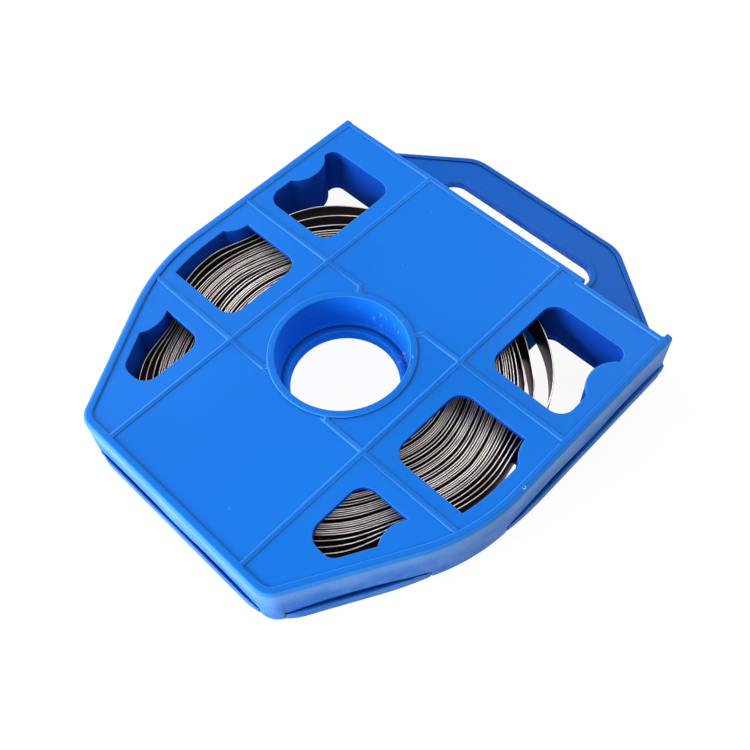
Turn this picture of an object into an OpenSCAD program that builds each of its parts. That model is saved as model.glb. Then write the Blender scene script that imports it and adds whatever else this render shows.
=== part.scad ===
// Coil of flat stainless steel band in a moulded dispenser case.
// The case lies flat on its tray. The origin is on the axis of the hub,
// in the plane of the tray's underside. +Y points to the handle, +Z up.

/* [Case] */
// Distance from the hub's axis to the cover's long sides
half_w = 123.3; // [123:0.1:124]
// Distance from the hub's axis to the front side and to the slanted sides
front_y = 121.8; // [121.6:0.1:122.6]
// Distance from the hub's axis to the side next to the handle
back_y = 127; // [126:0.5:128]
// Angle that each slanted side's normal makes with the X axis
slant_deg = 30; // [29:0.5:31]
// Radius of the cover's two front corners
front_r = 12.5; // [11:0.5:14]
// Height of the closed case with the rim bead
case_h = 33; // [33:0.5:38]
// Thickness of the cover's plate
plate_t = 2.5; // [2:0.1:3]
// Thickness of the tray's floor
floor_t = 3; // [2.5:0.1:3.2]
// Thickness of the skirt, the guide wall and the tubes
wall_t = 2; // [1.8:0.1:2.2]

/* [Tray lip] */
// How far the tray's lip stands out past the skirt
lip_out = 1.6; // [1.4:0.1:2]
// Height of the lip above the underside
lip_h = 6.5; // [6:0.1:7]
// Rise of the arches in the skirt's lower edge above the lip
arch_rise = 3.5; // [2:0.5:4]

/* [Ribs and beads] */
// Width of the raised rim bead round the cover
rim_w = 5; // [4.5:0.1:5.5]
// Radius of the cover's outer top edge
edge_r = 2.5; // [1.5:0.1:2.8]
// Height of the beads and ribs above the cover's plate
bead_h = 1; // [0.8:0.1:1.2]
// Width of the ribs on the cover
rib_w = 3; // [2.4:0.1:3.6]
// Half of the distance between the two long ribs
long_rib_x = 50; // [48:0.5:52]
// Distance from the hub's axis to the cross ribs on the handle's side
back_rib_y = 38.4; // [37:0.1:40]
// Distance from the hub's axis to the cross ribs on the front side
front_rib_y = 35.5; // [35:0.1:37]

/* [Windows] */
// Distance from the hub's middle line to the windows' inner edges
window_x = 61.3; // [60:0.1:62]
// Distance from the hub's axis to the guide wall that bounds the windows
track_r = 111.3; // [110.5:0.1:112]
// Where the windows next to the handle start, from the hub towards the handle
back_window_start = 47.6; // [46.5:0.1:49]
// Where the windows next to the handle end
back_window_end = 103.3; // [102.5:0.1:104.5]
// Half of the middle windows' length along the long sides
mid_window_half = 26; // [24:0.5:27]
// Where the front windows start, from the hub towards the front
front_window_start = 46.4; // [45:0.1:48]
// Where the front windows end
front_window_end = 86.4; // [84:0.1:88]
// Radius of the round bosses that bulge into the windows
boss_r = 17.5; // [16.5:0.5:18.5]

/* [Hub] */
// Radius inside the cover's hub tube
tube_r = 36.5; // [36:0.1:37]
// Radius of the hole through the tray's hub ring
hub_r = 31; // [30:0.5:31.5]
// Height of the tray's hub ring above the underside
hub_ring_h = 7; // [6:0.5:9]
// Outer radius of the bead round the hub's mouth
hub_bead_r = 40.7; // [40.2:0.1:41.5]

/* [Handle] */
// Distance from the hub's axis to the handle's outer edge
handle_y = 179; // [176:0.5:182]
// Half of the handle's length at its outer edge, before its corners are rounded
handle_half = 56; // [52:0.5:60]
// Thickness of the handle with its beads
handle_t = 5; // [4.5:0.1:6]
// Half of the length of the hand hole
hand_hole_half = 57.5; // [50:0.5:58]
// Where the hand hole starts, from the hub's axis
hand_hole_start = 131; // [130:0.5:134]
// Where the hand hole ends
hand_hole_end = 156; // [153:0.5:158]

/* [Band coil] */
// Width of the steel band
band_w = 19; // [16:0.5:20]
// Thickness of the steel band
band_t = 0.76; // [0.7:0.02:0.8]
// Radius inside the coil
coil_r = 48; // [47:0.5:50]
// Distance from turn to turn in the tight part of the coil
turn_pitch = 1.1; // [1.05:0.05:1.15]
// Turns in the tight part of the coil
tight_turns = 39; // [36:1:39]
// Loose turns outside the tight part
loose_turns = 7.25; // [5.25:1:7.25]

/* [Hidden] */

// Gap between the shells where they fit together.
fit_gap = 0.3;
// Largest distance between an arc and the chords that stand for it in an outline.
chord_sag = 0.02;
// Difference in thickness between two walls that lap, so that no two faces lie in one plane.
wall_step = 0.03;
// How far a wall or rib runs into the next one.
wall_lap = 0.5;
// How far a cutting shape runs past the face that it cuts through.
cut_past = 1;
// Height of a rib's upright sides.
rib_side_h = 0.15;
// Where the skirt starts above the lip.
over_lip = lip_h + fit_gap;
// Length of straight edge left at each end of an arch.
arch_foot = 3;
// How far the straight sides run into the wide arcs between the slanted and the long sides.
past_arc = 6.5;
// Radii of the corners of the windows and of the guide wall.
window_inner_r = 9;
window_tip_r = 7;
track_corner_r = 6;
shell_blue = [0.15, 0.49, 0.89];
band_grey = [0.62, 0.6, 0.58];

plate_z = case_h - bead_h;
// The ribs stay a touch below the beads that they run into, and the cross ribs below the long ones.
rib_h = 0.9 * bead_h;
cross_rib_h = 0.75 * bead_h;
plate_under = plate_z - plate_t;
// The middles of the arcs that join each slanted side to the front and to the long side.
front_cy = front_r - front_y;
front_cx = (front_y - front_r + front_cy * sin(slant_deg)) / cos(slant_deg);
side_cx = (half_w - front_y) / (1 - cos(slant_deg));
side_r = half_w - side_cx;
// Round bosses where the two shells are pinned together, on the +X side.
BOSSES = [[121.5, 81.5], [122, 26.5], [105, -57]];
// The band's exit: a part of the handle-side edge that is set in and open below.
exit_start = 65;
exit_end = 119.3;
exit_depth = 3;
back_bead_w = 3.5;
// Slot in the guide wall that lets the band through to the exit.
guide_slot_start = 18;
guide_slot_end = 46;

// ---- outline helpers ----

function polar(r, a) = r * [cos(a), sin(a)];

// Points of an arc about c from angle a0 to a1, with both ends.
function arc(c, r, a0, a1) =
    let (n = max(1, ceil(abs(a1 - a0) / (2 * acos(1 - chord_sag / r)))))
    [for (i = [0:n]) c + polar(r, a0 + (a1 - a0) * i / n)];

// Mirror image of a list of points across the Y axis, in reverse order.
function mirrored(pts) = [for (i = [len(pts) - 1:-1:0]) [-pts[i].x, pts[i].y]];

// Turn from direction a to direction b, between -180 and 180 degrees.
function turn(a, b) = let (d = b - a) d > 180 ? d - 360 : d < -180 ? d + 360 : d;

// Rounded corner at p between its neighbours a and b, as points on the arc.
function corner(a, p, b, r) =
    let (
        u = (a - p) / norm(a - p),
        v = (b - p) / norm(b - p),
        half = acos(u * v) / 2,
        c = p + (u + v) / norm(u + v) * r / sin(half),
        s = p + u * r / tan(half) - c,
        e = p + v * r / tan(half) - c,
        a0 = atan2(s.y, s.x)
    )
    arc(c, r, a0, a0 + turn(a0, atan2(e.y, e.x)));

// Polygon points with each corner [x, y, radius] rounded, or sharp for radius 0.
function rounded(pts) =
    let (n = len(pts))
    [for (i = [0:n - 1])
        let (
            p = pts[i],
            a = pts[(i + n - 1) % n],
            b = pts[(i + 1) % n],
            xy = [p.x, p.y]
        )
        each p[2] > 0 ? corner([a.x, a.y], xy, [b.x, b.y], p[2]) : [xy]];

// X on a slanted line at distance d from the axis, at height y.
function slant_x(d, y) = (d + y * sin(slant_deg)) / cos(slant_deg);

// The cover's outline, moved inwards by d.
function case_outline(d) =
    let (
        right = concat(
            arc([front_cx, front_cy], front_r - d, -90, -slant_deg),
            arc([side_cx, 0], side_r - d, -slant_deg, 0),
            [[half_w - d, back_y - d]]
        )
    )
    concat(right, mirrored(right));

// Radius with which the lip rounds a corner of radius r, so that it runs in behind the skirt.
function lip_corner_r(r, turned) =
    let (drawn_in = 1.6 * lip_out)
    r + drawn_in / (1 - cos(turned / 2));

// The lip's outline: outside the skirt along the straight sides, and inside it at the corners.
function lip_outline() =
    let (
        w = half_w + lip_out,
        f = front_y + lip_out,
        side_y = (w * cos(slant_deg) - f) / sin(slant_deg),
        end_r = 5,
        right = rounded([
            [0, -f, 0],
            [slant_x(f, -f), -f, lip_corner_r(front_r, 90 - slant_deg)],
            [w, side_y, lip_corner_r(side_r, slant_deg)],
            [w, back_y, end_r],
            [0, back_y, 0]
        ])
    )
    concat(right, mirrored(right));

// The outline that the band is kept in, moved outwards by d.
function track_outline(d) =
    let (
        r = track_r + d,
        end = back_window_end + d,
        right = concat(
            [[slant_x(r, -r), -r]],
            arc([0, 0], r, -slant_deg, 0),
            rounded([[r, 0, 0], [r, end, track_corner_r + d], [0, end, 0]])
        )
    )
    concat(right, mirrored(right));

module case_shape(d) {
    polygon(case_outline(d));
}

// Space inside the guide wall, moved outwards by d.
module track_shape(d) {
    difference() {
        polygon(track_outline(d));
        for (side = [-1, 1], b = BOSSES)
            translate([side * b.x, b.y]) circle(r = boss_r - d, $fn = 72);
    }
}

// The three windows on the +X side, before the bosses bulge into them.
module window_shapes() {
    polygon(rounded([
        [window_x, back_window_start, window_inner_r],
        [track_r, back_window_start, window_inner_r],
        [track_r, back_window_end, track_corner_r],
        [window_x, back_window_end, window_inner_r]
    ]));
    polygon(rounded([
        [window_x, -mid_window_half, window_inner_r],
        [half_w, -mid_window_half, 0],
        [half_w, mid_window_half, 0],
        [window_x, mid_window_half, window_inner_r]
    ]));
    polygon(rounded([
        [window_x, -front_window_end, window_inner_r],
        [slant_x(track_r, -front_window_end), -front_window_end, window_tip_r],
        [slant_x(track_r, -front_window_start), -front_window_start, 0],
        [window_x, -front_window_start, window_inner_r]
    ]));
}

// All six windows of one shell, cut off flush with the guide wall.
module windows(h) {
    linear_extrude(h)
        intersection() {
            track_shape(0);
            for (side = [0, 1]) mirror([side, 0]) window_shapes();
        }
}

// ---- top cover ----

// Section of the skirt with the rim bead on top. X is the distance inwards from the
// skirt's outer face, and shrink draws the section in.
module wall_section(foot, shrink) {
    inner_r = bead_h * 0.8;
    block_z = plate_under + plate_t / 2;
    polygon(concat(
        [[shrink, foot], [wall_t - shrink, foot], [wall_t - shrink, block_z], [rim_w - shrink, block_z]],
        arc([rim_w - inner_r, case_h - inner_r], inner_r - shrink, 0, 90),
        arc([edge_r, case_h - edge_r], edge_r - shrink, 90, 180)
    ));
}

// Shallow arches for the lower edge of a straight wall of that length: two in a long one.
module arches(length) {
    count = length > 100 ? 2 : 1;
    chord = length / count - 2 * arch_foot;
    r = (chord * chord / 4 + arch_rise * arch_rise) / (2 * arch_rise);
    for (i = [0:count - 1])
        translate([length * (i + 0.5) / count, 0, over_lip + arch_rise - r])
            rotate([90, 0, 0])
            cylinder(r = r, h = 4 * wall_t, center = true, $fn = 180);
}

// Wall along a straight side from p to q, with the case on its left. It is a hair thinner
// than the curved walls, whose ends lap over it.
module straight_wall(p, q) {
    d = q - p;
    translate([p.x, p.y, 0])
        rotate([0, 0, atan2(d.y, d.x)])
        difference() {
            rotate([90, 0, 90]) linear_extrude(norm(d)) wall_section(over_lip, wall_step);
            arches(norm(d));
        }
}

// Turns a section, outer face at x = 0, round an arc of radius r about c.
module around(c, r, a0, a1) {
    translate([c.x, c.y, 0])
        rotate_extrude(start = a0, angle = a1 - a0, $fn = 180)
        translate([r, 0])
        mirror([1, 0])
        children();
}

// Wall round an arc, lapping over the straight walls at both ends.
module curved_wall(c, r, a0, a1, foot) {
    lap = wall_lap / r * 180 / PI;
    around(c, r, a0 - lap, a1 + lap) wall_section(foot, 0);
}

// Skirt and rim bead along the front, the slanted sides and the long sides. The skirt
// stands over the tray's lip, and reaches the ground at the corners.
module swept_wall() {
    front_c = [front_cx, front_cy];
    side_c = [side_cx, 0];
    past = past_arc / side_r * 180 / PI;
    straight_wall([-front_cx, -front_y], [front_cx, -front_y]);
    for (side = [0, 1])
        mirror([side, 0, 0]) {
            curved_wall(front_c, front_r, -90, -slant_deg, 0);
            straight_wall(front_c + polar(front_r, -slant_deg), side_c + polar(side_r, -slant_deg));
            curved_wall(side_c, side_r, -slant_deg, 0, over_lip + wall_step);
            around(side_c, side_r - wall_step, past - slant_deg, -past)
                square([wall_t - 2 * wall_step, over_lip + wall_t]);
            straight_wall([half_w, 0], [half_w, back_y]);
        }
}

// Radius of a rib's back.
function rib_back_r(h, w) = let (crown = h - rib_side_h) (crown * crown + w * w / 4) / (2 * crown);

// Rib with a rounded back and low upright sides, from a to b on the cover's plate.
module rib(a, b, h, w = rib_w) {
    d = b - a;
    back_r = rib_back_r(h, w);
    translate([a.x, a.y, plate_z])
        rotate([0, 0, atan2(d.y, d.x)])
        rotate([90, 0, 90])
        linear_extrude(norm(d))
        intersection() {
            translate([0, h - back_r]) circle(r = back_r, $fn = 96);
            translate([-w / 2, -h]) square([w, 2 * h]);
        }
}

// Bead along the handle-side edge, set in where the band leaves.
module back_bead() {
    y = back_y - 2 * wall_step - back_bead_w / 2;
    past_start = 1;
    lap = 3;
    rib([lap - half_w, y], [exit_start + past_start, y], rib_h, back_bead_w);
    rib([exit_start - lap, y - exit_depth], [half_w - lap, y - exit_depth], rib_h, back_bead_w);
}

// Round bend of a rib: a dome a touch larger than the rib.
module rib_knee(p) {
    grow = 0.1;
    back_r = rib_back_r(cross_rib_h, rib_w);
    side = rib_w / 2 + grow;
    translate([p.x, p.y, plate_z])
        rotate_extrude($fn = 48)
        polygon(concat(
            [[0, -cross_rib_h], [side, -cross_rib_h]],
            arc([0, cross_rib_h - back_r], back_r + grow, acos(side / (back_r + grow)), 90)
        ));
}

// Cross rib from the rim to the hub, ending in a short bend.
module cross_rib(y, side) {
    knee_x = 24;
    outer = min(half_w, slant_x(front_y, y)) - rim_w + wall_lap;
    knee = [side * knee_x, y];
    rib([side * outer, y], knee, cross_rib_h);
    rib(knee, knee * (tube_r + wall_t + wall_lap) / norm(knee), cross_rib_h);
    rib_knee(knee);
}

module ribs() {
    for (side = [-1, 1]) {
        x = side * long_rib_x;
        rib([x, rim_w - front_y - wall_lap], [x, back_y - back_bead_w + wall_lap], rib_h);
        cross_rib(back_rib_y, side);
        cross_rib(-front_rib_y, side);
    }
}

// Side walls of the cover, with the wall over the handle, which is open where the band leaves.
module side_walls() {
    over_handle = handle_t + fit_gap;
    end_x = half_w - wall_t / 2;
    swept_wall();
    for (x = [[-end_x, exit_start], [exit_end, end_x]])
        translate([x[0], back_y - wall_t, over_handle])
            cube([x[1] - x[0], wall_t - 3 * wall_step, plate_z - plate_t / 2 - over_handle]);
}

// Wall that keeps the band in, from the plate down to the tray's floor. It stands back a
// little under the windows' edges.
module guide_wall() {
    set_back = 0.2;
    past_wall = 4;
    difference() {
        translate([0, 0, floor_t])
            linear_extrude(plate_under - floor_t + plate_t / 4)
            difference() {
                track_shape(wall_t);
                track_shape(set_back);
            }
        translate([guide_slot_start, back_window_end - past_wall, floor_t - cut_past])
            cube([
                guide_slot_end - guide_slot_start,
                wall_t + 2 * past_wall,
                plate_under - floor_t - cut_past
            ]);
    }
}

// Tube round the hub, with a bead round its mouth.
module hub_tube() {
    outside = tube_r + wall_t;
    mouth_r = bead_h / 2;
    sunk = 0.2;
    back_r = bead_h + sunk;
    rotate_extrude($fn = 128)
        polygon(concat(
            [[tube_r, hub_ring_h], [outside, hub_ring_h], [outside, plate_z - sunk]],
            arc([hub_bead_r - back_r, plate_z - sunk], back_r, 0, 90),
            arc([tube_r + mouth_r, case_h - mouth_r], mouth_r, 90, 180)
        ));
}

// The plate, with its edge inside the side wall but out to the handle-side edge.
module plate_shape() {
    edge = 0.4 * wall_t;
    case_shape(edge);
    translate([edge - half_w, back_y - rim_w]) square([2 * (half_w - edge), rim_w - wall_step]);
}

module top_cover() {
    color(shell_blue) {
        difference() {
            union() {
                translate([0, 0, plate_under]) linear_extrude(plate_t) plate_shape();
                ribs();
                back_bead();
                side_walls();
            }
            translate([0, 0, plate_under - cut_past])
                cylinder(r = tube_r + wall_t / 2, h = case_h, $fn = 128);
            translate([0, 0, plate_under - cut_past]) windows(case_h);
            translate([exit_start, back_y - exit_depth, plate_under - cut_past])
                cube([exit_end - exit_start, exit_depth + cut_past, case_h]);
        }
        guide_wall();
        hub_tube();
    }
}

// ---- bottom tray ----

// Straight stretches of the case's sides, from the front round to the right: start and end
// of each, with the case on the left. They run a little way into the wide side arcs.
RIGHT_SIDES = [
    [
        [front_cx, front_cy] + polar(front_r, -slant_deg),
        [side_cx, 0] + polar(side_r, -slant_deg) + polar(past_arc, 90 - slant_deg)
    ],
    [[half_w, -past_arc], [half_w, back_y]]
];
SIDES = [
    [[-front_cx, -front_y], [front_cx, -front_y]],
    each RIGHT_SIDES,
    for (s = RIGHT_SIDES) [[-s[1].x, s[1].y], [-s[0].x, s[0].y]]
];

// Strips along the straight stretches, shortened by trim at each end.
module side_strips(trim) {
    reach_in = wall_t + 4;
    reach_out = lip_out + 1;
    for (s = SIDES) {
        d = s[1] - s[0];
        translate([s[0].x, s[0].y])
            rotate(atan2(d.y, d.x))
            translate([trim, -reach_out])
            square([norm(d) - 2 * trim, reach_in + reach_out]);
    }
}

// The lip's outline where it passes under the skirt.
module lip_shape() {
    intersection() {
        polygon(lip_outline());
        side_strips(fit_gap);
    }
}

// Low wall along the lip, outside the skirt's face.
module lip() {
    linear_extrude(lip_h)
        difference() {
            lip_shape();
            case_shape(0);
        }
}

// Handle outline, with its outer edge and slanted sides moved inwards by d.
module handle_shape(d) {
    foot_x = half_w + 1 - d;
    foot_y = back_y - wall_t - 2;
    bend_y = back_y + 1;
    outer_x = handle_half - d / 2;
    outer_y = handle_y - d;
    outer_r = 22 - d;
    polygon(rounded([
        [foot_x, foot_y, 0],
        [foot_x, bend_y, 0],
        [outer_x, outer_y, outer_r],
        [-outer_x, outer_y, outer_r],
        [-foot_x, bend_y, 0],
        [-foot_x, foot_y, 0]
    ]));
}

// Hand hole, moved outwards by d.
module hand_hole_shape(d) {
    x = hand_hole_half + d;
    near = hand_hole_start - d;
    far = hand_hole_end + d;
    near_r = 9 + d;
    far_r = 11 + d;
    polygon(rounded([[-x, near, near_r], [x, near, near_r], [x, far, far_r], [-x, far, far_r]]));
}

// Carry handle: a flat plate with a bead round its edge and round the hole.
module handle() {
    bead_w = 3;
    difference() {
        union() {
            linear_extrude(handle_t - bead_h) handle_shape(0);
            linear_extrude(handle_t)
                difference() {
                    handle_shape(0);
                    handle_shape(bead_w);
                }
            linear_extrude(handle_t) hand_hole_shape(bead_w);
        }
        translate([0, 0, -cut_past]) linear_extrude(handle_t + 2 * cut_past) hand_hole_shape(0);
    }
}

// Ring round the hub hole, with a bead on its inner edge and a gutter behind the bead.
module hub_ring() {
    bead_r = 1.2;
    gutter_r = tube_r - 0.5;
    outer_r = tube_r + wall_t;
    shelf_z = hub_ring_h - bead_r;
    rotate_extrude($fn = 128)
        polygon(concat(
            [[hub_r, 0], [outer_r, 0], [outer_r, hub_ring_h], [gutter_r, hub_ring_h], [gutter_r, shelf_z]],
            arc([hub_r + 2 * bead_r, shelf_z], bead_r, 0, 90),
            arc([hub_r + bead_r, shelf_z], bead_r, 90, 180)
        ));
}

module bottom_tray() {
    color(shell_blue) {
        difference() {
            linear_extrude(floor_t) {
                case_shape(wall_t + fit_gap);
                lip_shape();
            }
            translate([0, 0, -cut_past]) cylinder(r = hub_r, h = floor_t + 2 * cut_past, $fn = 128);
            translate([0, 0, -cut_past]) windows(floor_t + 2 * cut_past);
        }
        lip();
        hub_ring();
        handle();
    }
}

// ---- steel band ----

tight_r = coil_r + tight_turns * turn_pitch;
// Least distance between two loose turns, and the first loose turn's distance off the tight part.
least_pitch = band_t + 0.12;
lift_off = 0.3;
loose_end_angle = 80;

// How far the outermost turn stands from the axis, at each listed angle.
// It bulges into the corners and is held in by the bosses and by the wall next to the handle.
REACH = [
    [-28, 100.5], [-8, 108.5], [12, 105.5], [30, 113], [45, 113.5], [62, 111], [90, 102.3],
    [125, 111], [140, 114], [152, 115], [168, 105.5], [188, 108.5], [208, 100.5],
    [240, 109], [300, 109], [332, 100.5]
];

// Smooth value between the listed angles on either side of a.
function between(a, i) =
    let (
        p = REACH[i],
        q = REACH[i + 1],
        t = (a - p[0]) / (q[0] - p[0])
    )
    t <= 1 || i == len(REACH) - 2 ? p[1] + (q[1] - p[1]) * (1 - cos(180 * t)) / 2 : between(a, i + 1);

// The same direction within the listed angles.
function wrapped(a) =
    let (first = REACH[0][0])
    a < first ? wrapped(a + 360) : a >= first + 360 ? wrapped(a - 360) : a;

function reach(a) = between(wrapped(a), 0);

// The loose turns crowd against the tight part next to the handle and spread evenly elsewhere.
function crowding(a) = 1.1 + 1.2 * max(0, sin(a));

// Share of the way from the tight part to the outermost turn, after n loose turns.
function spread(n, a) = min(1, pow(n / (loose_turns - 1), crowding(a)));

// Direction of the centre line after n loose turns.
function loose_angle(n) = loose_end_angle + 360 * (loose_turns - n);

// Radius of the centre line after n loose turns: it climbs off the tight part in a fifth
// of a turn, and each turn clears the one inside it.
function loose_radius(n) =
    let (
        a = loose_angle(n),
        climb = min(1, 5 * n),
        inner = tight_r + (climb - 0.5) * band_t + lift_off * climb + least_pitch * n,
        outer = reach(a) - least_pitch * (loose_turns - n)
    )
    inner + (outer - inner) * spread(n, a);

// Loose turns, as a band of constant thickness that follows the spiral.
module loose_band() {
    steps = 48;
    last = floor(loose_turns * steps);
    side_pts = function (shift) [
        for (i = [0:last])
            let (n = i / steps)
            polar(loose_radius(n) + shift, loose_angle(n))
    ];
    inner = side_pts(-band_t / 2);
    outer = side_pts(band_t / 2);
    polygon(concat(outer, [for (i = [last:-1:0]) inner[i]]));
}

// Tight part of the coil: its turns stand as ridges on both ends.
module tight_coil() {
    groove = 0.7;
    profile = function (z, dir) [
        for (i = [0:tight_turns - 1])
            let (
                r = coil_r + i * turn_pitch,
                low = z - dir * groove
            )
            each [[r, z], [r + band_t, z], [r + band_t, low], [r + turn_pitch, low]]
    ];
    top = profile(floor_t + band_w, 1);
    under = profile(floor_t, -1);
    rotate_extrude($fn = 128)
        polygon(concat([for (i = [0:len(top) - 2]) top[i]], [for (i = [len(under) - 2:-1:0]) under[i]]));
}

module steel_band() {
    color(band_grey) {
        tight_coil();
        translate([0, 0, floor_t]) linear_extrude(band_w) loose_band();
    }
}

top_cover();
bottom_tray();
steel_band();
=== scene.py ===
"""Looks of a coil of steel band in its dispenser case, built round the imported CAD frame."""

import math
import random

import bmesh
import bpy
from mathutils import Matrix, Vector


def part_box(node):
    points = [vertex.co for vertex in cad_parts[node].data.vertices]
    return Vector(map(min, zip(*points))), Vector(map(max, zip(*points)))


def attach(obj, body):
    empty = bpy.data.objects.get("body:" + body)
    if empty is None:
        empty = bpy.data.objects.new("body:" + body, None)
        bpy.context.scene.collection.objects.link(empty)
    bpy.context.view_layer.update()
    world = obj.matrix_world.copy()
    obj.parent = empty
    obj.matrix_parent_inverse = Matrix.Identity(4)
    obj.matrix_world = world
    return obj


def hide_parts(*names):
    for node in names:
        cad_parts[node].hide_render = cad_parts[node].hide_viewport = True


bl_info = {
    "name": "Band Coil in Dispenser Case",
    "version": (1, 0, 0),
    "blender": (4, 5, 0),
    "location": "View3D > Sidebar > Band Coil",
    "description": "Builds the case, the wound steel band and the studio stage",
    "category": "Object",
}

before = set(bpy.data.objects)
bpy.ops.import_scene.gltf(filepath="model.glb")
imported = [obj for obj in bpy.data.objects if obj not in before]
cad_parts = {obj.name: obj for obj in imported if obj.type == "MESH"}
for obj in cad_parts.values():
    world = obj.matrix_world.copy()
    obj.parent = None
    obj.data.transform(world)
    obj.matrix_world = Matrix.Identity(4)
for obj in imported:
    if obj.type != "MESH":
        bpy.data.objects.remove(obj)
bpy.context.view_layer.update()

MM = 0.001


# ---- Settings -------------------------------------------------------------------------------


class CaseSettings(bpy.types.PropertyGroup):
    """Finish of the two moulded shells."""

    cover_blue: bpy.props.FloatVectorProperty(
        name="Cover Blue",
        description="Colour of the top cover",
        subtype="COLOR",
        default=(0.002, 0.17, 0.72),
        min=0,
        max=1,
    )
    # The tray is set a deeper blue than the cover, as painted shade on the handle, which lies
    # lower.
    tray_blue: bpy.props.FloatVectorProperty(
        name="Tray Blue",
        description="Colour of the bottom tray with the handle",
        subtype="COLOR",
        default=(0.001, 0.13, 0.6),
        min=0,
        max=1,
    )
    edge_radius: bpy.props.FloatProperty(
        name="Edge Rounding",
        description="Radius on the moulded edges",
        default=0.5 * MM,
        min=0,
        max=1 * MM,
        unit="LENGTH",
        precision=5,
    )
    gloss_roughness: bpy.props.FloatProperty(
        name="Roughness",
        description="Roughness of the plastic where it isn't worn",
        default=0.46,
        min=0.05,
        max=1,
        subtype="FACTOR",
    )


class BandSettings(bpy.types.PropertyGroup):
    """Size and winding of the steel band."""

    width: bpy.props.FloatProperty(
        name="Band Width",
        description="Height of the band as it stands in the case",
        default=19 * MM,
        min=5 * MM,
        max=25 * MM,
        unit="LENGTH",
        precision=5,
    )
    thickness: bpy.props.FloatProperty(
        name="Band Thickness",
        description="Thickness of the steel",
        default=0.76 * MM,
        min=0.2 * MM,
        max=1.2 * MM,
        unit="LENGTH",
        precision=5,
    )
    core_radius: bpy.props.FloatProperty(
        name="Core Radius",
        description="Radius of the innermost turn",
        default=48 * MM,
        min=40 * MM,
        max=60 * MM,
        unit="LENGTH",
        precision=5,
    )
    turns: bpy.props.IntProperty(
        name="Turns",
        description="Number of turns of the band",
        default=40,
        min=10,
        max=48,
    )
    bunching: bpy.props.FloatProperty(
        name="Bunching",
        description="How much the turns lie in bunches with wide gaps between them",
        default=3.5,
        min=0,
        max=8,
    )
    seed: bpy.props.IntProperty(
        name="Seed",
        description="Seed of the uneven spacing",
        default=7,
        min=0,
    )


class StageSettings(bpy.types.PropertyGroup):
    """Camera and studio light."""

    lens: bpy.props.FloatProperty(
        name="Lens",
        description="Focal length of the camera on a 36 mm sensor",
        default=45.68,
        min=20,
        max=120,
        unit="CAMERA",
    )
    left_light: bpy.props.FloatProperty(
        name="Left Light",
        description="Power of the soft box beside the case",
        default=9,
        min=0,
        unit="POWER",
    )
    back_light: bpy.props.FloatProperty(
        name="Back Light",
        description="Power of the soft box behind the handle",
        default=6,
        min=0,
        unit="POWER",
    )
    front_light: bpy.props.FloatProperty(
        name="Front Light",
        description="Power of the low soft box that faces the front of the case",
        default=21,
        min=0,
        unit="POWER",
    )
    fill_light: bpy.props.FloatProperty(
        name="Fill Light",
        description="Power of the soft box above the front, which reaches into the windows",
        default=2.5,
        min=0,
        unit="POWER",
    )
    horizon_level: bpy.props.FloatProperty(
        name="Horizon Level",
        description="Strength of the light from the sides of the studio",
        default=0.26,
        min=0,
        max=2,
    )
    zenith_level: bpy.props.FloatProperty(
        name="Zenith Level",
        description="Strength of the light from the studio's ceiling",
        default=0.13,
        min=0,
        max=2,
    )


# ---- Shader helpers -------------------------------------------------------------------------


class Tree:
    """A short way to add and join the nodes of one material or world."""

    def __init__(self, owner, output):
        owner.use_nodes = True
        self.owner = owner
        self.tree = owner.node_tree
        self.tree.nodes.clear()
        self.output = self.tree.nodes.new(output)

    def add(self, kind, values=None, **attributes):
        node = self.tree.nodes.new(kind)
        for name, value in attributes.items():
            setattr(node, name, value)
        for socket, value in (values or {}).items():
            if isinstance(value, bpy.types.NodeSocket):
                self.tree.links.new(value, node.inputs[socket])
            else:
                node.inputs[socket].default_value = value
        return node

    def math(self, operation, a, b=0.0, clamp=False):
        node = self.add("ShaderNodeMath", {0: a, 1: b}, operation=operation, use_clamp=clamp)
        return node.outputs[0]

    def times(self, a, b):
        return self.math("MULTIPLY", a, b)

    def minus(self, a, b):
        return self.math("SUBTRACT", a, b)

    def ramp(self, fac, low, high, to_low=0.0, to_high=1.0):
        values = {0: fac, 1: low, 2: high, 3: to_low, 4: to_high}
        return self.add("ShaderNodeMapRange", values, clamp=True).outputs[0]

    def mix(self, fac, a, b, blend="MIX"):
        values = {0: fac, 6: a, 7: b}
        return self.add("ShaderNodeMix", values, data_type="RGBA", blend_type=blend).outputs[2]

    def noise(self, vector, scale, detail=2.0, roughness=0.5):
        values = {"Vector": vector, "Scale": scale, "Detail": detail, "Roughness": roughness}
        return self.add("ShaderNodeTexNoise", values).outputs["Fac"]

    def stretched(self, vector, scale):
        return self.add("ShaderNodeMapping", {"Vector": vector, "Scale": scale}).outputs[0]

    def part(self, vector, axis):
        return self.add("ShaderNodeSeparateXYZ", {0: vector}).outputs[axis]

    def joined(self, x, y=0.0, z=0.0):
        return self.add("ShaderNodeCombineXYZ", {0: x, 1: y, 2: z}).outputs[0]

    def length(self, vector):
        return self.add("ShaderNodeVectorMath", {0: vector}, operation="LENGTH").outputs["Value"]

    def along(self, vector, direction):
        values = {0: vector, 1: direction}
        return self.add("ShaderNodeVectorMath", values, operation="DOT_PRODUCT").outputs["Value"]

    def finish(self, shader):
        self.tree.links.new(shader, self.output.inputs["Surface"])
        return self.owner


def material_tree(name):
    """The empty node tree of a new material."""
    return Tree(bpy.data.materials.new(name), "ShaderNodeOutputMaterial")


def rgba(colour):
    return (*colour[:3], 1.0)


def seen_directly(t):
    """1 for camera, glossy and transmission rays."""
    path = t.add("ShaderNodeLightPath").outputs
    seen = t.math("MAXIMUM", path["Is Camera Ray"], path["Is Glossy Ray"])
    return t.math("MAXIMUM", seen, path["Is Transmission Ray"])


def axis_distance(t, place):
    """Distance from the hub's axis."""
    return t.length(t.joined(t.part(place, "X"), t.part(place, "Y")))


# ---- Materials ------------------------------------------------------------------------------

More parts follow.
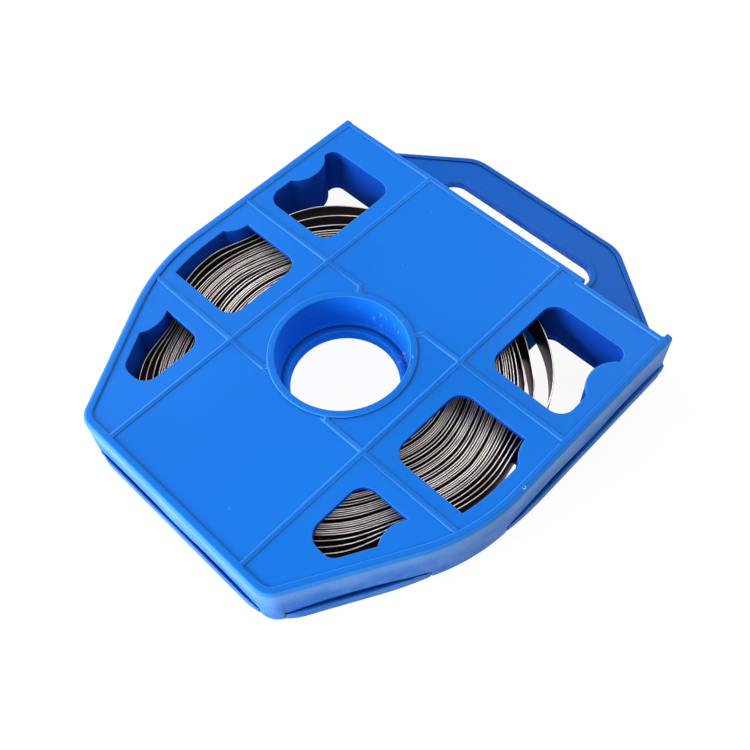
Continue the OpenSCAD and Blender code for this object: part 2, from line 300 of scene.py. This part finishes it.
# Direction of the slanted sides of the case.
SLANT_COS = math.cos(math.radians(30))
SLANT_SIN = math.sin(math.radians(30))
# How far out the skirt begins, at the front and the slanted sides. The long sides stand
# further out by one amount, and the handle starts at another.
SKIRT_START = (115.5 * MM, 116.5 * MM)
SIDE_FURTHER = 1.5 * MM
HANDLE_FURTHER = 9.5 * MM
# Heights between which the painted sheen on the upper part of the skirt fades in.
SKIRT_SHEEN_FROM = (17 * MM, 27 * MM)
# Distance from the axis where the painted light in the hub ends, and height where the painted light
# on its ring ends.
HUB_WALL = (38.4 * MM, 38.8 * MM)
LIT_RING_TOP = (9 * MM, 10 * MM)
# The side of the hub that is scratched most, and how far the scratches reach.
SCUFF_SIDE = (0.34, 0.94, 0)
SCUFF_START = (20 * MM, 35 * MM)
SCUFF_REACH = (38 * MM, 39 * MM)
# The hooked scratch on the rim beside the middle window.
HOOK_PLACE = (0.1211, 0.0044, 0.0325)
HOOK_RADIUS = 0.95 * MM
HOOK_WIDTH = 0.25 * MM
# The side of the coil where painted shade darkens the edges of the band, and where that begins.
SHADED_SIDE = (-0.45, -0.9, 0)
SHADE_START = (45 * MM, 80 * MM)

WORN_BLUE = (0.14, 0.38, 0.94, 1)
SKIRT_SHEEN_BLUE = (0.2, 0.48, 1.0, 1)
EDGE_HIGHLIGHT_BLUE = (0.09, 0.38, 0.97, 1)
WALL_SHADE_BLUE = (0.0, 0.045, 0.46, 1)
HUB_RING_LIGHT_BLUE = (0.01, 0.3, 0.9, 1)
SCRATCH_WHITE = (0.7, 0.82, 0.98, 1)
SPECK_BLACK = (0.01, 0.02, 0.05, 1)
SHADED_FACE_DARK = (0.05, 0.042, 0.05, 1)
SHADED_FACE_LIGHT = (0.14, 0.118, 0.13, 1)
SLIT_DARK = (0.2, 0.17, 0.165, 1)
SLIT_BRIGHT = (0.9, 0.82, 0.78, 1)
SLIT_SHADE = (0.1, 0.09, 0.1, 1)


def side_mask(t):
    """1 on upright faces, 0 on level ones."""
    normal = t.add("ShaderNodeNewGeometry").outputs["True Normal"]
    return t.ramp(t.math("ABSOLUTE", t.part(normal, "Z")), 0.3, 0.6, 1.0, 0.0)


def skirt_mask(t, place):
    """1 on the outer skirt, the lip and the handle, 0 further in."""
    wide = t.math("ABSOLUTE", t.part(place, "X"))
    depth = t.part(place, "Y")
    slanted = t.minus(t.times(wide, SLANT_COS), t.times(depth, SLANT_SIN))
    out = t.math("MAXIMUM", t.times(depth, -1.0), slanted)
    out = t.math("MAXIMUM", out, t.minus(wide, SIDE_FURTHER))
    out = t.math("MAXIMUM", out, t.minus(depth, HANDLE_FURTHER))
    return t.ramp(out, *SKIRT_START)


def edge_highlights(t):
    """1 on the rounded edges and the flanks of the ribs, where a highlight is painted."""
    upward = t.part(t.add("ShaderNodeNewGeometry").outputs["Normal"], "Z")
    return t.times(t.ramp(upward, 0.4, 0.6), t.ramp(upward, 0.86, 0.97, 1.0, 0.0))


def bore_scuffs(t, place):
    """Whitish upright scratches inside the hub, most of them on the handle side."""
    inside = t.ramp(axis_distance(t, place), *SCUFF_REACH, 1.0, 0.0)
    worn_side = t.ramp(t.along(place, SCUFF_SIDE), *SCUFF_START, 0.05, 1.0)
    upright = t.stretched(place, (420.0, 420.0, 70.0))
    streaks = t.ramp(t.noise(upright, 1.0, 3.0, 0.7), 0.56, 0.66)
    patches = t.ramp(t.noise(place, 110.0, 2.0), 0.5, 0.62)
    return t.times(t.times(t.times(streaks, patches), worn_side), inside)


def hook_mark(t, place):
    """A short curved scratch: half a ring round a point."""
    values = {0: place, 1: HOOK_PLACE}
    away = t.add("ShaderNodeVectorMath", values, operation="SUBTRACT").outputs["Vector"]
    off_line = t.math("ABSOLUTE", t.minus(t.length(away), HOOK_RADIUS))
    lit_ring = t.ramp(off_line, HOOK_WIDTH * 0.4, HOOK_WIDTH, 1.0, 0.0)
    half = t.ramp(t.part(away, "X"), -HOOK_RADIUS * 0.2, HOOK_RADIUS * 0.1)
    return t.times(lit_ring, half)


def scratches(t, place, side):
    """1 on whitish marks: scattered nicks, the scuffs in the hub and the hooked scratch."""
    level = t.math("ADD", t.noise(place, 420.0, 1.0), t.times(side, 0.035))
    where = t.ramp(t.noise(place, 26.0, 2.0), 0.65, 0.74)
    nicks = t.times(t.ramp(level, 0.775, 0.8), where)
    marks = t.math("MAXIMUM", t.times(nicks, 0.7), t.times(bore_scuffs(t, place), 0.6))
    return t.math("MAXIMUM", marks, hook_mark(t, place))


def specks(t, place):
    """1 on a few dark specks."""
    where = t.ramp(t.noise(place, 17.0, 1.0), 0.66, 0.7)
    return t.times(t.ramp(t.noise(place, 520.0, 0.0), 0.84, 0.87), where)


def outer_blue(t, place, side, blue):
    """The shell's colour, a little clouded, paler on worn skirts, with a painted sheen on the upper
    skirt and painted highlights on the rounded edges.
    """
    pale = rgba([c * 1.1 + 0.004 for c in blue])
    cloud = t.ramp(t.noise(place, 9.0, 3.0), 0.35, 0.7)
    colour = t.mix(cloud, rgba(blue), pale)
    worn = t.times(side, t.ramp(t.noise(place, 55.0, 4.0, 0.65), 0.4, 0.62))
    colour = t.mix(t.times(worn, 0.5), colour, WORN_BLUE)
    # Painted sheen: the upper part of the skirt is made paler.
    skirt_sheen = t.times(side, t.ramp(t.part(place, "Z"), *SKIRT_SHEEN_FROM))
    colour = t.mix(t.times(skirt_sheen, 0.45), colour, SKIRT_SHEEN_BLUE)
    # Painted highlight: the rounded edges and the flanks of the ribs are made paler.
    return t.mix(t.times(edge_highlights(t), 0.5), colour, EDGE_HIGHLIGHT_BLUE)


def inner_blue(t, place, inner, colour):
    """The colour with painted shade on the window walls, painted light on the ring low in the hub
    and on the hub's walls, and painted shade in the creases.
    """
    in_hub = t.ramp(axis_distance(t, place), *HUB_WALL, 1.0, 0.0)
    # Painted shade: the walls of the windows are turned a deep blue.
    shaded_walls = t.times(inner, t.minus(1.0, in_hub))
    colour = t.mix(t.times(shaded_walls, 0.85), colour, WALL_SHADE_BLUE)
    # Painted light: the ring low in the hub is made brighter.
    lit_ring = t.times(in_hub, t.ramp(t.part(place, "Z"), *LIT_RING_TOP, 1.0, 0.0))
    colour = t.mix(t.times(lit_ring, 0.6), colour, HUB_RING_LIGHT_BLUE)
    # Painted shade: the plastic is darkened where ambient occlusion finds creases and hollows.
    creases = t.add(
        "ShaderNodeAmbientOcclusion",
        {"Distance": 2.6 * MM},
        samples=8,
        only_local=True,
    )
    crease_shade = t.ramp(creases.outputs["AO"], 0.5, 0.96, 0.42, 1.0)
    # Painted light: the walls inside the hub are lightened a little.
    hub_wall_light = t.times(t.times(inner, in_hub), 0.15)
    light_and_shade = t.times(crease_shade, t.math("ADD", hub_wall_light, 1.0))
    return t.mix(1.0, colour, t.joined(light_and_shade, light_and_shade, light_and_shade), "MULTIPLY")


def case_plastic(name, blue, settings):
    """Satin blue plastic with faint clouding, a fine grain, worn skirts, scuffs and nicks, and
    painted light and shade.
    """
    t = material_tree(name)
    place = t.add("ShaderNodeTexCoord").outputs["Object"]
    upright = side_mask(t)
    side = t.times(upright, skirt_mask(t, place))
    inner = t.minus(upright, side)
    marks = scratches(t, place, side)
    colour = inner_blue(t, place, inner, outer_blue(t, place, side, blue))
    colour = t.mix(marks, colour, SCRATCH_WHITE)
    colour = t.mix(specks(t, place), colour, SPECK_BLACK)
    scuff_lines = t.noise(t.stretched(place, (140.0, 140.0, 14.0)), 1.0, 3.0, 0.6)
    scuffs = t.math("ADD", t.ramp(scuff_lines, 0.6, 0.78), marks)
    dulled_and_shaded = t.math("ADD", t.times(scuffs, 0.12), t.times(inner, 0.4))
    roughness = t.math("ADD", dulled_and_shaded, settings.gloss_roughness)
    grain = t.noise(place, 900.0, 2.0)
    swell = t.noise(place, 22.0, 1.0)
    relief = t.math("ADD", t.times(grain, 0.05), swell)
    bump = t.add("ShaderNodeBump", {"Height": relief, "Strength": 0.2, "Distance": 0.25 * MM})
    shader = t.add(
        "ShaderNodeBsdfPrincipled",
        {
            "Base Color": colour,
            "Roughness": roughness,
            "Normal": bump.outputs[0],
            "Specular IOR Level": 0.14,
        },
    )
    return t.finish(shader.outputs[0])


def band_steel():
    """Rolled stainless steel: bright slit edges, and faces in painted shade with fine lines along
    them.
    """
    t = material_tree("rolled_steel")
    place = t.add("ShaderNodeTexCoord").outputs["Object"]
    normal = t.add("ShaderNodeNewGeometry").outputs["True Normal"]
    edge = t.ramp(t.math("ABSOLUTE", t.part(normal, "Z")), 0.35, 0.75)
    across = t.joined(t.times(axis_distance(t, place), 700.0))
    turn_tone = t.ramp(t.noise(across, 1.0, 2.0, 0.7), 0.4, 0.6)
    cloud = t.times(t.noise(place, 70.0, 2.0), 0.5)
    tone = t.math("ADD", t.times(turn_tone, 0.75), cloud, clamp=True)
    # Painted shade: the slit edges are darkened towards the front left of the coil.
    dulled_and_shaded = t.ramp(t.along(place, SHADED_SIDE), *SHADE_START, 0.0, 0.6)
    slit = t.mix(dulled_and_shaded, t.mix(tone, SLIT_DARK, SLIT_BRIGHT), SLIT_SHADE)
    lines = t.noise(t.stretched(place, (25.0, 25.0, 2500.0)), 1.0, 2.0, 0.6)
    # Painted shade: the faces of the band are dark; the fine lines along them are streaks in the
    # steel.
    face = t.mix(t.ramp(lines, 0.3, 0.7), SHADED_FACE_DARK, SHADED_FACE_LIGHT)
    shader = t.add(
        "ShaderNodeBsdfPrincipled",
        {
            "Base Color": t.mix(edge, face, slit),
            "Metallic": t.ramp(edge, 0.0, 1.0, 0.9, 0.8),
            "Roughness": t.ramp(edge, 0.0, 1.0, 0.36, 0.4),
            "Specular Tint": (0.4, 0.36, 0.4, 1),
        },
    )
    return t.finish(shader.outputs[0])


# ---- Case -----------------------------------------------------------------------------------

WELD_DISTANCE = 0.002 * MM
FLAT_ANGLE = math.radians(0.4)
SHARP_ANGLE = math.radians(50)
# Faces narrower than this are the laps between two stretches of wall.
STEP_WIDTH = 0.26 * MM
# Edges of faces that point down more than this stay sharp.
DOWNWARD = -0.5


def linked(name, mesh):
    """A new object at the origin for a mesh."""
    mesh.name = name
    obj = bpy.data.objects.new(name, mesh)
    bpy.context.scene.collection.objects.link(obj)
    return obj


def is_step(face):
    """True for the hair-thin faces where two stretches of wall lap over each other."""
    return face.calc_area() < STEP_WIDTH * sum(edge.calc_length() for edge in face.edges) / 2


def is_sharp(edge):
    """True for the real edges of the moulding."""
    if not edge.is_manifold or any(map(is_step, edge.link_faces)):
        return False
    return edge.calc_face_angle() > SHARP_ANGLE


def moulded_copy(node, name, radius):
    """A welded copy of a CAD node with softly rounded edges and smooth curved faces."""
    obj = linked(name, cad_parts[node].data.copy())
    shell = bmesh.new()
    shell.from_mesh(obj.data)
    bmesh.ops.remove_doubles(shell, verts=shell.verts, dist=WELD_DISTANCE)
    bmesh.ops.dissolve_limit(
        shell,
        angle_limit=FLAT_ANGLE,
        verts=shell.verts,
        edges=shell.edges,
    )
    weights = shell.edges.layers.float.new("bevel_weight_edge")
    for face in shell.faces:
        face.smooth = True
    for edge in filter(is_sharp, shell.edges):
        lowest = min(face.normal.z for face in edge.link_faces)
        if edge.is_convex and lowest > DOWNWARD:
            edge[weights] = 1.0
        else:
            edge.smooth = False
    bmesh.ops.triangulate(shell, faces=[face for face in shell.faces if len(face.verts) > 4])
    shell.to_mesh(obj.data)
    shell.free()
    bevel = obj.modifiers.new("rounding", "BEVEL")
    bevel.limit_method = "WEIGHT"
    bevel.width = radius
    bevel.segments = 2
    bevel.use_clamp_overlap = False
    bevel.loop_slide = False
    bevel.miter_outer = "MITER_ARC"
    even = obj.modifiers.new("even_shading", "WEIGHTED_NORMAL")
    even.keep_sharp = True
    even.weight = 100
    return baked(obj)


def baked(obj):
    """The object with its modifiers turned into plain mesh."""
    view = bpy.context.evaluated_depsgraph_get()
    mesh = bpy.data.meshes.new_from_object(
        obj.evaluated_get(view),
        preserve_all_data_layers=True,
        depsgraph=view,
    )
    obj.modifiers.clear()
    old = obj.data
    obj.data = mesh
    bpy.data.meshes.remove(old)
    mesh.name = obj.name
    return obj


class BANDCOIL_OT_case(bpy.types.Operator):
    """Build the top cover and the bottom tray from the CAD shells"""

    bl_idname = "bandcoil.case"
    bl_label = "Case"

    def execute(self, context):
        settings = context.scene.bandcoil_case
        for node, name, slot, blue in (
            ("top_cover", "cover_shell", "case_shell", settings.cover_blue),
            ("bottom_tray", "tray_shell", "case_tray", settings.tray_blue),
        ):
            shell = moulded_copy(node, name, settings.edge_radius)
            shell.data.materials.clear()
            shell.data.materials.append(case_plastic(name + "_plastic", blue, settings))
            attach(shell, "root")
            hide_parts(node)
        return {"FINISHED"}


# ---- Band -----------------------------------------------------------------------------------

# Directions in degrees and, in mm, the radii of the four outermost turns there, from the
# outside in. The turns inside them are wound closer.
LOOSE_TURNS = (
    (-28, (101.0, 99.4, 97.6, 95.9)),
    (-13, (104.8, 102.4, 99.9, 97.5)),
    (0, (106.0, 103.2, 100.6, 98.1)),
    (14, (104.8, 102.0, 99.4, 96.9)),
    (30, (112.2, 104.0, 99.4, 95.6)),
    (45, (113.3, 101.4, 96.2, 93.2)),
    (60, (110.6, 100.2, 94.2, 91.6)),
    (90, (102.3, 99.2, 96.2, 93.6)),
    (120, (109.6, 103.4, 97.4, 93.6)),
    (140, (114.2, 106.1, 98.8, 94.7)),
    (152, (112.4, 105.4, 99.2, 95.4)),
    (166, (106.6, 103.0, 99.6, 97.0)),
    (180, (110.2, 106.0, 101.6, 98.6)),
    (194, (108.0, 104.6, 101.4, 98.6)),
    (208, (101.0, 99.4, 97.6, 95.9)),
    (224, (109.6, 106.0, 102.6, 99.6)),
    (240, (111.6, 108.0, 104.6, 101.4)),
    (270, (110.0, 107.0, 104.0, 101.0)),
    (300, (111.6, 108.0, 104.6, 101.4)),
    (315, (109.0, 105.6, 102.4, 99.6)),
    (332, (101.0, 99.4, 97.6, 95.9)),
)
STEPS_PER_TURN = 144
# Pitch of turns that touch, in thicknesses of the band.
CLOSEST_PITCH = 1.3
# Direction in degrees of both ends of the band.
END_ANGLE = 80
# Under the handle side of the cover each turn passes on to the place of the next one out.
SHIFT_START = 64
SHIFT_ANGLE = 52
# Share of the slack that every gap gets, how much more open the outer gaps are than the
# inner ones, and how far the turns fan out towards the handle, less for each turn inwards.
LEAST_GAP = 0.012
OPEN_OUTSIDE = 0.7
FAN = 0.9
FAN_FADE = 0.55
# How far a turn may stand above the lowest one.
HIGHEST_LIFT = 0.35 * MM
# Rounding of the band's edges, in thicknesses of the band.
BAND_ROUNDING = 0.45


def eased(share):
    """0 to 1 with a soft start and end."""
    return (1 - math.cos(math.pi * max(0.0, min(1.0, share)))) / 2


def slope(rows, i, turn):
    """Change of radius per degree at a row, from its neighbours on either side."""
    before = rows[i - 1] if i > 0 else (rows[-2][0] - 360, rows[-2][1])
    after = rows[i + 1] if i + 1 < len(rows) else (rows[1][0] + 360, rows[1][1])
    return (after[1][turn] - before[1][turn]) / (after[0] - before[0])


def loose_radii(angle, pitch):
    """Radii in metres of the outermost turns in a direction in degrees, from the outside in."""
    rows = LOOSE_TURNS
    angle = (angle - rows[0][0]) % 360 + rows[0][0]
    i = max(k for k in range(len(rows) - 1) if rows[k][0] <= angle)
    span = rows[i + 1][0] - rows[i][0]
    x = (angle - rows[i][0]) / span
    radii = []
    for turn, (low, high) in enumerate(zip(rows[i][1], rows[i + 1][1])):
        start = slope(rows, i, turn) * span
        end = slope(rows, i + 1, turn) * span
        cubic = 2 * (low - high) + start + end
        square = 3 * (high - low) - 2 * start - end
        radii.append((((cubic * x + square) * x + start) * x + low) * MM)
        if turn:
            radii[turn] = min(radii[turn], radii[turn - 1] - pitch)
    return radii


def place_in_coil(turns, n):
    """Which turn from the outside the band is at after n turns, from 1 for the outermost."""
    past_shift = END_ANGLE - SHIFT_START + 360 * (turns - n)
    whole, angle = divmod(past_shift, 360)
    return whole + eased(angle / SHIFT_ANGLE)


class Gaps:
    """Uneven gaps between the turns: most of them closed, a few wide, changing along the turn."""

    def __init__(self, settings):
        rng = random.Random(settings.seed)
        self.settings = settings
        self.turns = [
            (rng.random() ** settings.bunching, rng.uniform(0, math.tau), rng.uniform(0, math.tau))
            for _ in range(settings.turns)
        ]

    def radii(self, degrees):
        """Radii of all turns in a direction, from the outermost in."""
        around = math.radians(degrees)
        pitch = self.settings.thickness * CLOSEST_PITCH
        loose = loose_radii(degrees, pitch)
        tight = self.turns[len(loose) :]
        slack = loose[-1] - self.settings.core_radius - pitch * len(tight)
        shares = []
        for i, (width, first, second) in enumerate(tight):
            swing = 1.15 + 0.6 * math.cos(around - first) + 0.5 * math.cos(2 * around - second)
            openness = 1 - OPEN_OUTSIDE * i / len(tight)
            fanned = FAN * FAN_FADE**i * max(0.0, math.sin(around))
            shares.append((LEAST_GAP + width * swing) * openness + fanned)
        total = sum(shares)
        radii = list(loose)
        for share in shares:
            radii.append(radii[-1] - pitch - slack * share / total)
        return radii


def winding(settings):
    """Points of the band's centre line, from the innermost turn to the outermost end."""
    turns = settings.turns
    gaps = Gaps(settings)
    around_coil = [
        gaps.radii(END_ANGLE + 360 * step / STEPS_PER_TURN) for step in range(STEPS_PER_TURN)
    ]
    rng = random.Random(settings.seed + 1)
    lifts = [rng.uniform(0, HIGHEST_LIFT) for _ in range(turns + 2)]
    floor_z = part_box("steel_band")[0].z + settings.width / 2
    points = []
    for i in range(turns * STEPS_PER_TURN + 1):
        n = i / STEPS_PER_TURN
        around = math.radians(END_ANGLE - 360 * n)
        turn = min(max(place_in_coil(turns, n), 1), turns)
        radii = around_coil[-i % STEPS_PER_TURN]
        outer = int(turn) - 1
        inner = min(outer + 1, turns - 1)
        share = turn - int(turn)
        radius = radii[outer] + (radii[inner] - radii[outer]) * share
        z = floor_z + lifts[int(n)] + (lifts[int(n) + 1] - lifts[int(n)]) * (n % 1)
        points.append((radius * math.cos(around), radius * math.sin(around), z))
    return points


def sweep_tree(name):
    """Geometry Nodes that sweep an upright rectangular band along a line."""
    tree = bpy.data.node_groups.new(name, "GeometryNodeTree")
    sockets = tree.interface
    for label, kind in (
        ("Geometry", "NodeSocketGeometry"),
        ("Thickness", "NodeSocketFloat"),
        ("Width", "NodeSocketFloat"),
        ("Edge Radius", "NodeSocketFloat"),
        ("Material", "NodeSocketMaterial"),
    ):
        sockets.new_socket(label, in_out="INPUT", socket_type=kind)
    sockets.new_socket("Geometry", in_out="OUTPUT", socket_type="NodeSocketGeometry")
    add = tree.nodes.new
    link = tree.links.new
    source = add("NodeGroupInput")
    to_curve = add("GeometryNodeMeshToCurve")
    upright = add("GeometryNodeSetCurveNormal")
    upright.mode = "Z_UP"
    section = add("GeometryNodeCurvePrimitiveQuadrilateral")
    rounded = add("GeometryNodeFilletCurve")
    rounded.mode = "POLY"
    rounded.inputs["Count"].default_value = 3
    sweep = add("GeometryNodeCurveToMesh")
    sweep.inputs["Fill Caps"].default_value = True
    realize = add("GeometryNodeRealizeInstances")
    paint = add("GeometryNodeSetMaterial")
    result = add("NodeGroupOutput")
    link(source.outputs["Geometry"], to_curve.inputs["Mesh"])
    link(to_curve.outputs["Curve"], upright.inputs["Curve"])
    link(source.outputs["Thickness"], section.inputs["Width"])
    link(source.outputs["Width"], section.inputs["Height"])
    link(section.outputs["Curve"], rounded.inputs["Curve"])
    link(source.outputs["Edge Radius"], rounded.inputs["Radius"])
    link(upright.outputs["Curve"], sweep.inputs["Curve"])
    link(rounded.outputs["Curve"], sweep.inputs["Profile Curve"])
    link(sweep.outputs["Mesh"], realize.inputs["Geometry"])
    link(realize.outputs["Geometry"], paint.inputs["Geometry"])
    link(source.outputs["Material"], paint.inputs["Material"])
    link(paint.outputs["Geometry"], result.inputs["Geometry"])
    return tree


def with_tree(obj, tree, values):
    """The object with a Geometry Nodes tree run on it and turned into plain mesh."""
    modifier = obj.modifiers.new(tree.name, "NODES")
    modifier.node_group = tree
    sockets = {s.name: s.identifier for s in tree.interface.items_tree if s.in_out == "INPUT"}
    for name, value in values.items():
        modifier[sockets[name]] = value
    return baked(obj)


class BANDCOIL_OT_band(bpy.types.Operator):
    """Wind the steel band on the hub"""

    bl_idname = "bandcoil.band"
    bl_label = "Steel Band"

    def execute(self, context):
        settings = context.scene.bandcoil_band
        points = winding(settings)
        line = bpy.data.meshes.new("wound_band")
        line.from_pydata(points, [(i, i + 1) for i in range(len(points) - 1)], [])
        band = with_tree(
            linked("wound_band", line),
            sweep_tree("band_sweep"),
            {
                "Thickness": settings.thickness,
                "Width": settings.width,
                "Edge Radius": settings.thickness * BAND_ROUNDING,
                "Material": band_steel(),
            },
        )
        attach(band, "root")
        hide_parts("steel_band")
        return {"FINISHED"}


# ---- Stage ----------------------------------------------------------------------------------

CAMERA_PLACE = (0.216958, -0.182189, 0.455664)
CAMERA_RIGHT = (0.71880224, 0.69465907, -0.02778709)
CAMERA_UP = (-0.5772594, 0.61864155, 0.53296738)
CAMERA_BACK = (0.38742087, -0.36705779, 0.8456794)
SENSOR = 36
FLOOR_HALF = 6
BOX_SIZE = 0.7
# The point that the lamps look at.
AIM = Vector((0, 0, 0.02))


def floor_paper():
    """White paper that keeps a faint shadow."""
    t = material_tree("floor_paper")
    own_light = t.add("ShaderNodeEmission", {"Color": (1, 1, 1, 1), "Strength": 0.93})
    shaded = t.add("ShaderNodeBsdfDiffuse", {"Color": (0.11, 0.11, 0.11, 1)})
    bright = t.add("ShaderNodeAddShader", {0: own_light.outputs[0], 1: shaded.outputs[0]})
    plain = t.add("ShaderNodeBsdfDiffuse", {"Color": (0.8, 0.8, 0.8, 1)})
    values = {0: seen_directly(t), 1: plain.outputs[0], 2: bright.outputs[0]}
    return t.finish(t.add("ShaderNodeMixShader", values).outputs[0])


def studio_world(settings):
    """Soft light from all sides, and plain white where the world itself is seen."""
    t = Tree(bpy.data.worlds.new("studio"), "ShaderNodeOutputWorld")
    upward = t.part(t.add("ShaderNodeTexCoord").outputs["Generated"], "Z")
    light = t.ramp(upward, 0.0, 1.0, settings.horizon_level, settings.zenith_level)
    strength = t.ramp(seen_directly(t), 0.0, 1.0, light, 1.0)
    sky = t.add("ShaderNodeBackground", {"Color": (1, 1, 1, 1), "Strength": strength})
    return t.finish(sky.outputs[0])


def soft_box(name, place, power):
    """A square area lamp that looks at the case."""
    lamp = bpy.data.lights.new(name, "AREA")
    lamp.size = BOX_SIZE
    lamp.energy = power
    obj = bpy.data.objects.new(name, lamp)
    obj.location = place
    obj.rotation_euler = (AIM - Vector(place)).to_track_quat("-Z", "Y").to_euler()
    bpy.context.scene.collection.objects.link(obj)


def studio_camera(focal_length):
    """The camera, above the front right corner of the case."""
    lens = bpy.data.cameras.new("camera")
    lens.lens = focal_length
    lens.sensor_width = SENSOR
    camera = bpy.data.objects.new("camera", lens)
    axes = Matrix((CAMERA_RIGHT, CAMERA_UP, CAMERA_BACK)).transposed()
    camera.matrix_world = Matrix.LocRotScale(Vector(CAMERA_PLACE), axes.to_quaternion(), None)
    bpy.context.scene.collection.objects.link(camera)
    return camera


class BANDCOIL_OT_stage(bpy.types.Operator):
    """Set up the floor, the light and the camera"""

    bl_idname = "bandcoil.stage"
    bl_label = "Stage"

    def execute(self, context):
        settings = context.scene.bandcoil_stage
        scene = context.scene
        corners = ((-1, -1), (1, -1), (1, 1), (-1, 1))
        paper = bpy.data.meshes.new("floor")
        paper.from_pydata([(x * FLOOR_HALF, y * FLOOR_HALF, 0) for x, y in corners], [], [range(4)])
        paper.materials.append(floor_paper())
        floor = linked("floor", paper)
        soft_box("left_box", (-1.1, 0.1, 0.65), settings.left_light)
        soft_box("back_box", (0.0, 1.0, 0.85), settings.back_light)
        soft_box("front_box", (-0.35, -1.1, 0.28), settings.front_light)
        soft_box("fill_box", (0.5, -0.6, 1.0), settings.fill_light)
        scene.world = studio_world(settings)
        scene.camera = studio_camera(settings.lens)
        scene.view_settings.view_transform = "Standard"
        return {"FINISHED"}


# ---- Panel and registration -----------------------------------------------------------------


class BANDCOIL_PT_panel(bpy.types.Panel):
    """Settings and steps of the band coil"""

    bl_label = "Band Coil"
    bl_idname = "BANDCOIL_PT_panel"
    bl_space_type = "VIEW_3D"
    bl_region_type = "UI"
    bl_category = "Band Coil"

    def draw(self, context):
        layout = self.layout
        scene = context.scene
        for group in (scene.bandcoil_case, scene.bandcoil_band, scene.bandcoil_stage):
            column = layout.column(align=True)
            for name in group.__annotations__:
                column.prop(group, name)
        for operator in (BANDCOIL_OT_case, BANDCOIL_OT_band, BANDCOIL_OT_stage):
            layout.operator(operator.bl_idname)


CLASSES = (
    CaseSettings,
    BandSettings,
    StageSettings,
    BANDCOIL_OT_case,
    BANDCOIL_OT_band,
    BANDCOIL_OT_stage,
    BANDCOIL_PT_panel,
)


def register():
    for cls in CLASSES:
        bpy.utils.register_class(cls)
    bpy.types.Scene.bandcoil_case = bpy.props.PointerProperty(type=CaseSettings)
    bpy.types.Scene.bandcoil_band = bpy.props.PointerProperty(type=BandSettings)
    bpy.types.Scene.bandcoil_stage = bpy.props.PointerProperty(type=StageSettings)


def unregister():
    del bpy.types.Scene.bandcoil_case
    del bpy.types.Scene.bandcoil_band
    del bpy.types.Scene.bandcoil_stage
    for cls in reversed(CLASSES):
        bpy.utils.unregister_class(cls)


def main():
    register()
    bpy.ops.bandcoil.stage()
    bpy.ops.bandcoil.case()
    bpy.ops.bandcoil.band()


if __name__ == "__main__":
    main()
